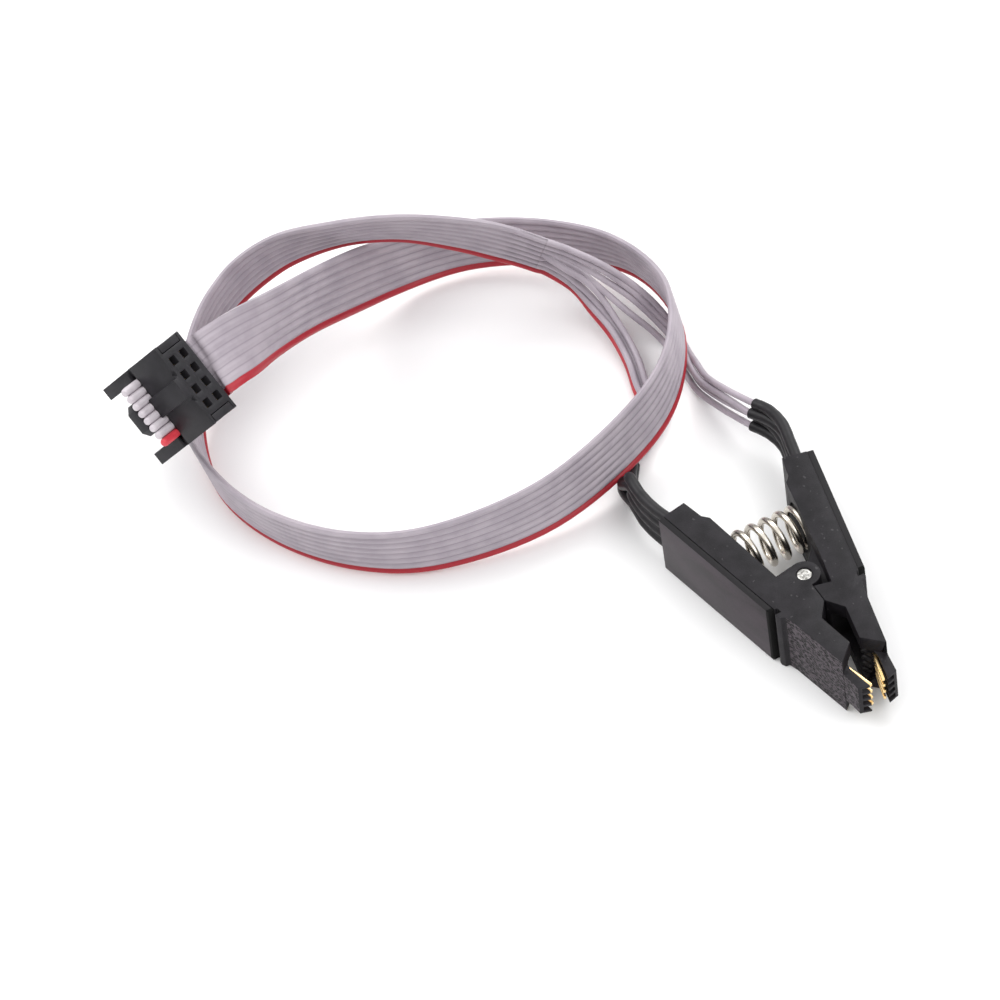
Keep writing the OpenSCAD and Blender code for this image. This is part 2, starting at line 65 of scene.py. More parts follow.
tent = bpy.data.worlds.new("tent")
tent.use_nodes = True
tent_nodes, tent_links = tent.node_tree.nodes, tent.node_tree.links
tent_height = tent_nodes.new("ShaderNodeSeparateXYZ")
tent_links.new(tent_nodes.new("ShaderNodeTexCoord").outputs["Generated"], tent_height.inputs[0])
tent_ramp = tent_nodes.new("ShaderNodeValToRGB")
tent_links.new(tent_height.outputs["Z"], tent_ramp.inputs[0])
# Greys from the horizon up to the top of the tent, with a darker band low on its wall.
tent_stops = tent_ramp.color_ramp.elements
for height in (0.07, 0.13, 0.42, 0.62):
    tent_stops.new(height)
for stop, grey in zip(tent_stops, (0.72, 0.66, 0.22, 0.26, 0.9, 1.0)):
    stop.color = (grey, grey, grey, 1)
tent_links.new(tent_ramp.outputs[0], tent_nodes["Background"].inputs["Color"])
tent_nodes["Background"].inputs["Strength"].default_value = 1.35
scene.world = tent


def lamp(name, place, aim, size, power):
    light = bpy.data.lights.new(name, "AREA")
    light.shape, light.size, light.energy = "DISK", size, power
    holder = bpy.data.objects.new(name, light)
    scene.collection.objects.link(holder)
    holder.location = place
    away = holder.location - type(holder.location)(aim)
    holder.rotation_euler = away.to_track_quat("Z", "Y").to_euler()


LOOP_MIDDLE = (-0.03, -0.02, 0)
lamp("lamp_left", (-0.55, -0.55, 0.75), LOOP_MIDDLE, 0.6, 3.6)
lamp("lamp_back", (-0.5, 0.55, 0.55), LOOP_MIDDLE, 0.5, 2.6)
lamp("lamp_front", (0.5, 0.25, 0.6), (0, 0, 0), 0.5, 1.5)

view = bpy.data.cameras.new("view")
view.lens, view.sensor_width = 139.34, 36
view.clip_start, view.clip_end = 0.01, 20
camera = bpy.data.objects.new("camera", view)
scene.collection.objects.link(camera)
camera.location = (0.31712, -0.14457, 0.40834)
camera.rotation_euler = [math.radians(a) for a in (42.4107, 7.3374, 63.9228)]
scene.camera = camera

# ---- Ribbon cable ----
# Eight stranded conductors in one flat strip of soft grey insulation with a red first edge.
# It is extruded in one go, so the conductors show as rounded ridges joined by thin webs.

# Places and sizes are in millimetres until to_row or the factor MM makes them metres.
MM = 1e-3
CONDUCTORS = 8
PITCH = 1.27
RIDGE = 0.5
WEB = 0.2
EDGE_THICKNESS = 0.12
HALF = (CONDUCTORS - 1) / 2

SPLIT = [-74.5, -3, 11.5, 14]
SOCKET_AT = np.array([-67, -60, 24.5])
SOCKET_TURN = [math.radians(a) for a in (24, -41, -160.5)]
SOCKET_BACK = -4.2
RIBBON_BEND = 4.0
BEND_Z = -3


def unit(v):
    return v / np.linalg.norm(v)


def turned(v):
    # From the socket's own axes: a turn about X, then Y, then Z.
    a, b, c = SOCKET_TURN
    x, y, z = v
    y, z = math.cos(a) * y - math.sin(a) * z, math.sin(a) * y + math.cos(a) * z
    x, z = math.cos(b) * x + math.sin(b) * z, math.cos(b) * z - math.sin(b) * x
    return np.array([math.cos(c) * x - math.sin(c) * y, math.sin(c) * x + math.cos(c) * y, z])


def from_socket(v):
    return SOCKET_AT + turned(v)


def smooth(rows, per):
    # Points between the rows on a curve that passes through each of them.
    rows = np.array(rows, float)
    last = len(rows) - 1
    found = []
    for i in range(last):
        a, b, c, d = rows[max(i - 1, 0)], rows[i], rows[i + 1], rows[min(i + 2, last)]
        for t in np.arange(per) / per:
            found.append(0.5 * (2 * b + (c - a) * t + (2 * a - 5 * b + 4 * c - d) * t ** 2
                                + (3 * b - a - 3 * c + d) * t ** 3))
    return np.array(found + [rows[last]])


def headings(points):
    ends = np.vstack([points[:1], points, points[-1:]])
    along = ends[2:] - ends[:-2]
    return along / np.linalg.norm(along, axis=1)[:, None]


def across(rows):
    # Direction of the row of conductors at each station, from its lean off upright.
    found = []
    for t, lean in zip(headings(rows[:, :3]), np.radians(rows[:, 3])):
        side = unit(np.cross(t, [0, 0, 1]))
        found.append(np.cross(side, t) * math.cos(lean) + side * math.sin(lean))
    return np.array(found)


def socket_row(place, toward):
    t, w = turned(toward), turned([1, 0, 0])
    side = unit(np.cross(t, [0, 0, 1]))
    return [*from_socket(place), math.degrees(math.atan2(w @ side, w @ np.cross(side, t)))]


def bend_row(angle):
    s, c = math.sin(math.radians(angle)), math.cos(math.radians(angle))
    back = SOCKET_BACK - RIBBON_BEND * (1 - c)
    return socket_row([0, back, BEND_Z + RIBBON_BEND * s], [0, -s, c])


def to_row(points):
    # Millimetres about the pivot to metres in the object's own frame.
    return (np.asarray(points) + [0.15, 0, 0]) * MM


# Stations of the ribbon's middle line from the socket to the split: place, and lean in degrees.
ribbon_rows = [
    socket_row([0, SOCKET_BACK, -5], [0, 0, 1]), socket_row([0, SOCKET_BACK, -3.5], [0, 0, 1]),
    bend_row(30), bend_row(65),
    [-76, -46, 19, -16], [-82.5, -35, 14, -10], [-89.5, -22.5, 7, -10], [-88.5, -10, 6, -2],
    [-81.5, 1, 6.5, 4], [-72, 9, 7, 14], [-59.5, 10.5, 7, 8], [-47.5, 4.5, 7, 6],
    [-38.5, -6.1, 7.9, 8], [-34.3, -22.5, 5.9, 4], [-36, -39, 5.2, -4], [-42, -50, 5.2, -10],
    [-52.5, -58, 5.2, -12], [-65, -61.5, 5.2, -10], [-77.5, -60, 5.5, -12],
    [-88.5, -53.5, 8.5, 0], [-93.5, -46, 11.5, 8], [-93.4, -37.5, 15.2, 17],
    [-89.9, -29, 17.4, 27], [-85.2, -20.5, 17.9, 25], [-80.7, -12.5, 15.9, 18],
    [-77.5, -7, 13.5, 14], SPLIT]


def loft(name, centres, first, second, rings, uv_across):
    # A closed tube: at each centre its ring is laid out on the two directions.
    stations, sides = len(centres), len(rings[0])
    points = np.concatenate([
        c + np.outer(r[:, 0], a) + np.outer(r[:, 1], b)
        for c, a, b, r in zip(centres, first, second, rings)])
    faces = []
    for here in range(0, (stations - 1) * sides, sides):
        ahead = here + sides
        for j in range(sides):
            beside = (j + 1) % sides
            faces.append([here + j, here + beside, ahead + beside, ahead + j])
    head = list(range(sides))
    tail = [(stations - 1) * sides + j for j in head]
    faces += [head[::-1], tail]
    mesh = bpy.data.meshes.new(name)
    mesh.from_pydata(points.tolist(), [], faces)
    travel = np.concatenate([[0], np.cumsum(np.linalg.norm(np.diff(centres, axis=0), axis=1))])
    chart = mesh.uv_layers.new(name="run")
    for face in mesh.polygons:
        for loop in face.loop_indices:
            v = mesh.loops[loop].vertex_index
            chart.data[loop].uv = (uv_across[v % sides], travel[v // sides])
    for face in mesh.polygons:
        face.use_smooth = len(face.vertices) == 4
    mesh.update()
    piece = bpy.data.objects.new(name, mesh)
    scene.collection.objects.link(piece)
    return piece


def ribbon_ring(web=WEB):
    # Half thickness over the width: a ridge for each conductor and a web between two.
    steps = np.array([-0.80, -0.76, -0.62, -0.34, 0, 0.34, 0.62, 0.76, 0.80]) * PITCH / 2
    edge = RIDGE + HALF * PITCH
    us = np.concatenate([[-edge], *[(k - HALF) * PITCH + steps for k in range(CONDUCTORS)], [edge]])
    off_ridge = ((us / PITCH + CONDUCTORS / 2) % 1 - 0.5) * PITCH
    height = np.sqrt(np.maximum(RIDGE ** 2 - off_ridge ** 2, web ** 2))
    height[0] = height[-1] = EDGE_THICKNESS
    top = np.stack([us, height], 1)[::-1]
    bottom = np.stack([us, -height], 1)
    ring = np.concatenate([top, bottom])
    return ring * MM, ring[:, 0] / (CONDUCTORS * PITCH) + 0.5


class Tone:
    """A socket of a finish. Arithmetic on it adds Math nodes."""

    def __init__(self, socket):
        self.socket = socket

    def node(self, kind, settings, inputs, out=0):
        tree = self.socket.id_data
        made = tree.nodes.new(kind)
        for key, value in settings.items():
            setattr(made, key, value)
        for key, value in inputs.items():
            if isinstance(value, Tone):
                tree.links.new(value.socket, made.inputs[key])
            else:
                made.inputs[key].default_value = value
        return Tone(made.outputs[out])

    def math(self, operation, *values):
        return self.node("ShaderNodeMath", {"operation": operation}, dict(enumerate(values)))

    def through(self, operation):
        # The operation on this socket alone, such as its sine.
        return self.math(operation, self)

    def __add__(self, other):
        return self.math("ADD", self, other)

    def __abs__(self):
        return self.through("ABSOLUTE")

    def __sub__(self, other):
        return self.math("SUBTRACT", self, other)

    def __rsub__(self, other):
        return self.math("SUBTRACT", other, self)

    def __mul__(self, other):
        return self.math("MULTIPLY", self, other)

    def __lt__(self, other):
        return self.math("LESS_THAN", self, other)

    def __gt__(self, other):
        return self.math("GREATER_THAN", self, other)

    __radd__ = __add__

    def along(self, axis):
        # One of the three numbers of a direction or a place.
        return self.node("ShaderNodeSeparateXYZ", {}, {0: self}, out="XYZ".index(axis))

    def mapped(self, **change):
        # The coordinates moved by Location or stretched by Scale.
        return self.node("ShaderNodeMapping", {}, {"Vector": self, **change})

    def step(self, low, high):
        # 0 below low, 1 above high and a smooth rise between.
        return self.node("ShaderNodeMapRange", {"interpolation_type": "SMOOTHSTEP"},
                         {0: self, 1: low, 2: high})

    def noise(self, scale, detail=2.0, roughness=0.5):
        return self.node("ShaderNodeTexNoise", {}, {
            "Vector": self, "Scale": scale, "Detail": detail, "Roughness": roughness})

    def tint(self, low, high):
        # From colour low to colour high as this goes from 0 to 1.
        return self.node("ShaderNodeMix", {"data_type": "RGBA"}, {0: self, 6: low, 7: high}, out=2)

    def relief(self, depth, strength=1.0):
        return self.node("ShaderNodeBump", {}, {
            "Height": self, "Distance": depth, "Strength": strength})


def finish(name, **constants):
    # A new material: its shader's fixed values, and the Object coordinates to build on.
    made = bpy.data.materials.new(name)
    made.use_nodes = True
    shader = made.node_tree.nodes["Principled BSDF"]
    for key, value in constants.items():
        shader.inputs[key.replace("_", " ")].default_value = value
    here = made.node_tree.nodes.new("ShaderNodeTexCoord")
    return made, shader, Tone(here.outputs["Object"])


def facing(here):
    # The direction that each face looks in, from the node that gives the coordinates.
    return Tone(here.socket.node.outputs["Normal"])


def feed(shader, **channels):
    for key, tone in channels.items():
        shader.id_data.links.new(tone.socket, shader.inputs[key.replace("_", " ")])


GREY_PVC = (0.43, 0.38, 0.425, 1)
GREY_PVC_DARK = (0.365, 0.32, 0.365, 1)
GROOVE_SHADE_GREY = (0.22, 0.19, 0.225, 1)
RED_PVC = (0.385, 0.017, 0.03, 1)
RED_SHARE = 0.1235
GROOVE_SHADE_FADE = (268 * MM, 284 * MM)

ribbon_pvc, shader, here = finish("ribbon_pvc", Roughness=0.42, Specular_IOR_Level=0.45)
run = here.node("ShaderNodeUVMap", {"uv_map": "run"}, {})
over = run.along("X")
off_ridge = abs((over * CONDUCTORS).through("FRACT") - 0.5)
# Painted shade: the grooves between the conductors are coloured darker grey, fading out over the
# last stretch before the split.
groove_shade = off_ridge.step(0.36, 0.5) * (1 - run.along("Y").step(*GROOVE_SHADE_FADE))
grey = here.noise(260, 3).step(0.3, 0.7).tint(GREY_PVC_DARK, GREY_PVC)
grey = (groove_shade * 0.55).tint(grey, GROOVE_SHADE_GREY)
feed(shader, Base_Color=(over < RED_SHARE).tint(grey, RED_PVC),
     Roughness=0.38 + here.noise(900, 2) * 0.12,
     Normal=here.noise(3500, 2).relief(0.00001, 0.35))

POINTS_A_ROW = 8
SLIT_STATIONS = 12
PRESSED_STATIONS, PRESSED_WEB = [30, 44], 0.43

route = smooth(ribbon_rows, POINTS_A_ROW)
ribbon_line = to_row(route[:, :3])
ribbon_across = across(route)
ribbon_ahead = headings(route[:, :3])
ribbon_normal = np.cross(ribbon_ahead, ribbon_across)
station = np.arange(len(route))
# The webs thin out over the last stations before the slits, and are pressed flat over the
# first ones, where the ribbon bends out of the socket.
webs = WEB * np.clip((station[-1] - station) / SLIT_STATIONS, 0.08, 1)
webs = np.maximum(webs, np.interp(station, PRESSED_STATIONS, [PRESSED_WEB, 0]))
flat_ring, ring_u = ribbon_ring()
ribbon = loft("ribbon", ribbon_line, ribbon_across, ribbon_normal,
              [ribbon_ring(web)[0] for web in webs], ring_u)
ribbon.data.materials.append(ribbon_pvc)
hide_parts("ribbon_cable")
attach(ribbon, "left_half")

# ---- Single wires ----
# The last 50 mm of the ribbon is slit into its eight conductors, which keep their own round
# insulation, the first one red. Four run to each handle, loose and slightly fanned.

# Drawn a hair thinner, so that a wire and the tube round its end share no skin.
WIRE_DRAWN_D = 0.985 * MM
# Stations from the handle to the split, each with its place and then the sideways offset
# and height of the four wires. The red one lies under its neighbour, and the two bundles
# cross where they leave the ribbon.
left_lanes = [
    [(-41.6, -4.7), (-1.3, 0.58), (-0.28, 0.58), (0.75, 0.66), (0.3, 1.5)],
    [(-44.3, -2), (-1.15, 0.56), (-0.4, 1.25), (0.6, 0.64), (0.6, 1.62)],
    [(-47.6, 0), (-0.85, 0.55), (-0.45, 1.48), (0.35, 0.7), (0.85, 1.6)],
    [(-51.8, 0.7), (-0.8, 0.55), (-0.5, 1.52), (0.3, 0.8), (0.85, 1.68)],
    [(-57, 1.9), (-0.75, 1.0), (-0.5, 1.98), (0.35, 1.3), (0.9, 2.2)],
    [(-62.5, 2.2), (-0.7, 2.1), (-0.45, 3.1), (0.45, 2.6), (0.85, 3.7)],
    [(-67.5, 1.3), (-0.5, 3.6), (-0.4, 4.7), (0.3, 5.5), (0.5, 7.8)],
    [(-71.3, -0.5), (0.6, 5.2), (0.45, 6.4), (0.4, 7.9), (-0.5, 10.5)]]
right_lanes = [
    [(-41, 9), (-0.5, 1.6), (0.1, 2.9), (-0.1, 4.1), (0.45, 5.1)],
    [(-46.5, 8.5), (-0.95, 0.75), (-0.1, 1.5), (-0.25, 2.5), (0.55, 3.1)],
    [(-50.5, 8.6), (-0.95, 0.6), (0.05, 1.15), (-0.2, 2.15), (0.75, 2.5)],
    [(-54.5, 9.1), (-1.3, 0.6), (-0.1, 0.6), (0.15, 1.6), (0.95, 1)],
    [(-58.3, 9.4), (-1.45, 0.72), (-0.1, 0.9), (0.5, 1.75), (1.1, 0.95)],
    [(-61, 8.1), (-1.3, 2.3), (0.1, 3.1), (0.5, 4.05), (1.2, 4.8)],
    [(-63.8, 5.9), (-1.2, 4.8), (0.1, 6.6), (0.5, 7.8), (0.9, 8.8)],
    [(-67, 3.2), (-0.5, 7.6), (0, 9.5), (0.25, 11), (0.3, 12.2)],
    [(-70.7, 0.5), (0.7, 9.1), (-0.05, 11.6), (-0.25, 13.0), (-0.3, 14.1)]]
# The tails of the left sleeves dive under the ribbon two on two, each this far sideways and
# up from the spots of the tail. Those of the right sleeves stay in a row.
left_heap = [(-0.85, 0), (0.6, 0), (-0.8, 1.3), (0.55, 1.36)]
left_tail_ways = [[-0.87, 0.36, -0.34], [-0.84, 0.5, -0.18], [-0.81, 0.58, -0.05]]
left_tail_spots = [[-33.9, -10.4, 1.75], [-36.6, -9.1, 0.78], [-39.1, -7.5, 0.75]]
RIGHT_TAIL_WAY = [-0.88, -0.42, -0.1]


def sleeve_tail(side, k):
    # The last points of sleeve k, and the way that its free end looks.
    rank = k - 1.5
    if side == "left":
        found = []
        for way, spot in zip(left_tail_ways, left_tail_spots):
            sideways, up = left_heap[k]
            found.append(spot + unit(np.cross(way, [0, 0, 1])) * sideways + np.array([0, 0, up]))
        return found, unit(np.array(way))
    way = unit(np.array(RIGHT_TAIL_WAY))
    odd = k % 2
    beside = unit(np.cross(way, [0, 0, 1])) * (0.5 if odd else -0.5)
    return [np.array([-31.5, 11.45, 5.5 + rank * 1.5]) + beside * 0.5,
            np.array([-34.5 + 0.35 * odd, 10.35, 5.2 + rank * 1.32]) + beside], way


def conductor(k, back):
    # Points on conductor k of the ribbon, this many stations back from the split.
    return [route[i, :3] + ribbon_across[i] * (k - HALF) * PITCH for i in back]


def circle(sides):
    # A circle of radius 1, and how far round it each of its points is.
    share = np.arange(sides) / sides
    return np.stack([np.cos(share * 2 * math.pi), np.sin(share * 2 * math.pi)], 1), share


def tube(name, line, radii, sides, steered=None):
    # A round tube whose ring turns as little as it can along the line. After the steered
    # points it keeps its last direction, so that the line may double back.
    steered = steered or len(line)
    ahead = headings(line[:steered])
    first = [unit(np.cross(ahead[0], [0, 0, 1]))]
    for way in ahead[1:]:
        first.append(unit(first[-1] - way * (first[-1] @ way)))
    first = np.array(first)
    second = np.cross(ahead, first)
    held = len(line) - steered
    first = np.vstack([first, np.tile(first[-1], (held, 1))])
    second = np.vstack([second, np.tile(second[-1], (held, 1))])
    ring, share = circle(sides)
    return loft(name, line, first, second, [ring * r for r in radii], share)


def wire_finish(name, light, dark):
    made, shader, here = finish(name, Roughness=0.4, Specular_IOR_Level=0.45)
    feed(shader, Base_Color=here.noise(320, 3).step(0.3, 0.7).tint(dark, light),
         Roughness=0.34 + here.noise(1100, 2) * 0.14,
         Normal=here.noise(3800, 2).relief(0.00001, 0.35))
    return made


wire_grey = wire_finish("wire_grey", GREY_PVC, GREY_PVC_DARK)
wire_red = wire_finish("wire_red", RED_PVC, (0.46, 0.028, 0.04, 1))
# The wire beside the split on each side changes places with the other one: the ribbon's
# conductor that each comes from, and how far it is lifted where they cross.
crossing = {("left", 3): (4, 0.6), ("right", 0): (3, -0.6)}
AHEAD_OF_SPLIT = 1.8
INSIDE_SLEEVE, PAST_SLEEVE = 0.9, 0.3

for side, lanes in (("left", left_lanes), ("right", right_lanes)):
    along = headings(np.array([[*row[0], 0.0] for row in lanes]))
    for i in range(4):
        spots, way = sleeve_tail(side, i)
        lane = [spots[-1] - way * INSIDE_SLEEVE, spots[-1] + way * PAST_SLEEVE]
        for row, t in zip(lanes, along):
            sideways, up = row[i + 1]
            lane.append(np.array([*row[0], up]) + np.cross(t, [0, 0, 1]) * sideways)
        k, lift = crossing.get((side, i), (i if side == "left" else i + 4, 0))
        split_end = conductor(k, (-1, -5, -9))
        ahead = ribbon_ahead[-1] * AHEAD_OF_SPLIT + ribbon_normal[-1] * lift
        lane += [split_end[0] + ahead, *split_end]
        line = to_row(smooth(lane, POINTS_A_ROW))
        wire = tube(f"{side}_lead_{i + 1}", line, np.full(len(line), WIRE_DRAWN_D / 2), 14)
        wire.data.materials.append(wire_red if (side, i) == ("left", 0) else wire_grey)
        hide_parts(f"{side}_wire_{i + 1}")
        "insulation_red" if (side, i) == ("left", 0) else "insulation_grey"
        if side == "left":
            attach(wire, "left_half")
        else:
            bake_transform(wire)

# ---- Shrink sleeves ----
# Black heat-shrink tube over each wire, from the crimp in the handle to some way behind it.
# It is cut square, hugs the wire closer towards its free end and puckers where it bends.

SLEEVE_R = 0.85 * MM
NARROWED = {"left": 0.18, "right": 0.03}
# Stations of the four sleeves from the crimps outwards: place, lean and distance between two.
left_sleeve_rows = [
    [-16.5, -9.4, 5.1, 0, 1.95], [-20, -10.1, 5.1, 0, 1.95], [-23.5, -11, 5.1, 0, 1.9],
    [-27, -11.4, 5, 0, 1.85], [-31, -11.1, 4.7, 0, 1.78]]
right_sleeve_rows = [
    [-16.5, 9.4, 5.1, 0, 1.95], [-20, 10.1, 5.1, 0, 1.95], [-24, 11, 5.3, 0, 1.9],
    [-28, 11.8, 5.6, 0, 1.8]]
# Over the rim and back down inside the free end: how far along, and the share of the radius.
RIM = np.array([0.0, -0.03, -0.3, -0.95, -1.65]) * MM
RIM_SHARE = np.array([0.96, 0.84, 0.78, 0.75, 0.72])


def strand(rows, k):
    # The line of sleeve k of four along the rows, up to its tail.
    rows = np.asarray(rows, float)
    return rows[:, :3] + across(rows) * ((k - 1.5) * rows[:, 4])[:, None]


sleeve_black, shader, here = finish("sleeve_black", Specular_IOR_Level=0.3)
cloud = here.noise(500, 3).step(0.25, 0.75)
feed(shader, Base_Color=cloud.tint((0.009, 0.0085, 0.010, 1), (0.019, 0.0175, 0.020, 1)),
     Roughness=0.36 + here.noise(1300, 3) * 0.2,
     Normal=(here.noise(1500, 2) + here.noise(5000, 1) * 0.4).relief(0.00004, 0.5))

for side, rows in (("left", left_sleeve_rows), ("right", right_sleeve_rows)):
    for i in range(4):
        line = to_row(smooth([*strand(rows, i), *sleeve_tail(side, i)[0]], 12))
        count = len(line)
        place = np.arange(count) / (count - 1)
        radii = SLEEVE_R * (0.985 + 0.012 * np.sin(place * 61 + i) * (place > 0.3))
        radii *= 1 - NARROWED[side] * np.clip((place - 0.55) / 0.3, 0, 1)
        tip, way = line[-1], headings(line)[-1]
        line = np.vstack([line[:-1], tip - way * 0.06 * MM, tip + np.outer(RIM, way)])
        radii = np.concatenate([radii, radii[-1] * RIM_SHARE])
        sleeve = tube(f"{side}_shrink_{i + 1}", line, radii, 20, steered=count)
        sleeve.data.materials.append(sleeve_black)
        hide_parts(f"{side}_sleeve_{i + 1}")
        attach(sleeve, f"{side}_half")

# ---- Housings ----
# Two handle and jaw halves, injection moulded in black glass-filled plastic. The cheeks and
# the backs are finely grained, and the outer jaw faces carry a coarse leather grain.


def fair_copy(node, name, edge, angle=32):
    # The solid's own skin in whole faces, with its sharp edges broken by a small round.
    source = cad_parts[node]
    mesh = source.data.copy()
    mesh.transform(source.matrix_world)
    mesh.name = name
    mesh.materials.clear()
    piece = bpy.data.objects.new(name, mesh)
    scene.collection.objects.link(piece)
    bpy.ops.object.select_all(action="DESELECT")
    piece.select_set(True)
    bpy.context.view_layer.objects.active = piece
    if mesh.has_custom_normals:
        bpy.ops.mesh.customdata_custom_splitnormals_clear()
    bpy.ops.object.mode_set(mode="EDIT")
    bpy.ops.mesh.select_all(action="SELECT")
    bpy.ops.mesh.remove_doubles(threshold=2e-6)
    bpy.ops.mesh.dissolve_limited(angle_limit=math.radians(0.5))
    bpy.ops.object.mode_set(mode="OBJECT")
    if edge:
        rounding = piece.modifiers.new("edges", "BEVEL")
        rounding.width, rounding.segments = edge, 2
        rounding.limit_method, rounding.angle_limit = "ANGLE", math.radians(angle)
        rounding.use_clamp_overlap = False
        rounding.miter_outer = "MITER_ARC"
        bpy.ops.object.modifier_apply(modifier="edges")
    bpy.ops.object.shade_smooth_by_angle(angle=math.radians(angle + 6))
    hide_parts(node)
    return piece


JAW_GRAIN_FROM = 5.8 * MM
GRAIN_PIT_SHADE = (0.002, 0.002, 0.002, 1)
GRAIN_TOP_HIGHLIGHT = (0.088, 0.072, 0.084, 1)
SPECK_GREY = (0.09, 0.085, 0.09, 1)
SLOT_SHADE_FROM, SLOT_SHADE_TO = 3.0 * MM, 4.4 * MM
PAINTED_SHADE_BLACK = (0.001, 0.001, 0.001, 1)

housing_plastic, shader, here = finish("housing_plastic", Specular_IOR_Level=0.26)
forward = here.along("X")
outward = (facing(here).along("Y") * here.along("Y").through("SIGN")).step(0.75, 0.9)
on_jaw = outward * (forward > JAW_GRAIN_FROM)
upright = here.mapped(Scale=(1.0, 1.0, 1.7))
cells = upright.node("ShaderNodeTexVoronoi", {"feature": "SMOOTH_F1"}, {
    "Vector": upright, "Scale": 1850.0, "Smoothness": 0.3, "Randomness": 1.0})
leather_relief_and_shade = (cells.step(0.3, 0.66) * 0.8 + here.noise(1100, 2).step(0.35, 0.65) * 0.3) * on_jaw
fine = here.noise(5200, 3, 0.6)
flow = here.noise(420, 3)
# Painted shade: the narrow slot between cover and rib is deep and unlit, so its outward faces are
# coloured near black.
painted_slot_shade = (forward > SLOT_SHADE_FROM) * (forward < SLOT_SHADE_TO) * outward
black = (flow * 0.6 + fine * 0.4).step(0.3, 0.7).tint(
    (0.005, 0.0042, 0.0058, 1), (0.017, 0.015, 0.0185, 1))
# Painted shade and highlight: on the outer jaw faces the grain's pits are coloured near black and
# its tops lighter grey, over the real leather relief.
black = leather_relief_and_shade.tint(on_jaw.tint(black, GRAIN_PIT_SHADE), GRAIN_TOP_HIGHLIGHT)
specks = here.noise(1900, 0).step(0.78, 0.84) * 0.4
black = specks.tint(black, SPECK_GREY)
feed(shader,
     Base_Color=painted_slot_shade.tint(black, PAINTED_SHADE_BLACK),
     Roughness=0.46 + fine * 0.16 + painted_slot_shade * 0.4,
     Normal=(leather_relief_and_shade * 2.0 + fine * 0.25).relief(0.00012, 1.0))

for side in ("left", "right"):
    housing = fair_copy(f"{side}_housing", f"{side}_shell", 0.06 * MM)
    housing.data.materials.append(housing_plastic)
    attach(housing, f"{side}_half")

# ---- Cover plates ----
# A smooth plate closes the wire channel of each handle. It is moulded in the same black
# plastic from a polished tool, so it shines more than the grained half, and snaps in.

COVER_SHADE_FROM = 3.1 * MM
cover_plastic, shader, here = finish("cover_plastic", Specular_IOR_Level=0.3)
fine = here.noise(4200, 2)
# Painted shade and sheen: the cover's faces that look up or down are coloured near black, and its
# side faces a lighter purple grey, for how the light falls on them.
up_down_painted_shade = abs(facing(here).along("Z")).step(0.15, 0.5)
# Painted shade: the cover's last part, from 3.1 mm on, is coloured near black, so that it reads as
# part of the dark slot before the rib.
painted_slot_shade = here.along("X") > COVER_SHADE_FROM
flow = here.mapped(Scale=(60.0, 400.0, 400.0)).noise(1, 3)
black = (flow * 0.7 + fine * 0.3).step(0.35, 0.65).tint(
    (0.012, 0.0075, 0.0108, 1), (0.036, 0.024, 0.033, 1))
feed(shader,
     Base_Color=painted_slot_shade.tint(up_down_painted_shade.tint(black, (0.006, 0.005, 0.0065, 1)), PAINTED_SHADE_BLACK),
     Roughness=0.36 + flow * 0.1 + up_down_painted_shade * 0.2 + painted_slot_shade * 0.45,
     Normal=(flow + fine * 0.3).relief(0.00002, 0.4))

for side in ("left", "right"):
    cover = fair_copy(f"{side}_cover", f"{side}_plate", 0.05 * MM)
    cover.data.materials.append(cover_plastic)
    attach(cover, f"{side}_half")

# ---- Combs ----
# A small ribbed insert just behind each jaw tip keeps the four blades apart. It is moulded
# in black plastic and pushed in from the window between the jaws.

comb_plastic, shader, here = finish("comb_plastic", Specular_IOR_Level=0.5)
fine = here.noise(4800, 2)
black = fine.step(0.3, 0.7).tint((0.016, 0.015, 0.016, 1), (0.024, 0.022, 0.024, 1))
feed(shader, Base_Color=black, Roughness=0.36 + fine * 0.14,
     Normal=fine.relief(0.00003, 0.4))
for side in ("left", "right"):
    comb = fair_copy(f"{side}_comb", f"{side}_spacer", 0.04 * MM)
    comb.data.materials.append(comb_plastic)
    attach(comb, f"{side}_half")

# ---- Contact blades ----
# Four stamped spring-bronze blades in each jaw, gold plated all over. Each is bent once at
# the tip, lies in its own slot, and is crimped to its wire in the handle.

gold_plate, shader, here = finish("gold_plate", Metallic=1.0)
streaks = here.mapped(Scale=(300.0, 2600.0, 2600.0)).noise(1, 3)
feed(shader, Base_Color=streaks.step(0.2, 0.8).tint((0.86, 0.58, 0.24, 1), (0.98, 0.76, 0.42, 1)),
     Roughness=0.2 + streaks * 0.14, Normal=streaks.relief(0.00001, 0.3))
for side in ("left", "right"):
    for i in range(4):
        blade = fair_copy(f"{side}_contact_{i + 1}", f"{side}_blade_{i + 1}", 0.05 * MM, 25)
        blade.data.materials.append(gold_plate)
        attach(blade, f"{side}_half")

# ---- Pivot pin ----
# A turned steel pin with chamfered ends, pressed through the outer cheeks. Its end face is
# bright and shows the fine rings left by the lathe.

pin_steel, shader, here = finish("pin_steel", Metallic=1.0)
spot = here.mapped(Location=(-0.15 * MM, 0.0, 0.0))
x, y = spot.along("X"), spot.along("Y")
lathe_rings = ((x * x + y * y).through("SQRT") * 45000).through("SINE")
stain = here.noise(2600, 3).step(0.35, 0.65)
feed(shader, Base_Color=stain.tint((0.34, 0.33, 0.31, 1), (0.74, 0.73, 0.70, 1)),
     Roughness=0.2 + here.noise(2500, 2) * 0.2,
     Normal=(lathe_rings * 0.15 + here.noise(2200, 2) * 1.6).relief(0.00012, 0.8))
pin = fair_copy("pivot_pin", "pin", 0)
pin.data.materials.append(pin_steel)
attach(pin, "left_half")

# ---- Spring ----
# A compression spring wound from round steel wire and nickel plated. Its end turns are
# closed, and each end sits round a post in a seat moulded into the handle.

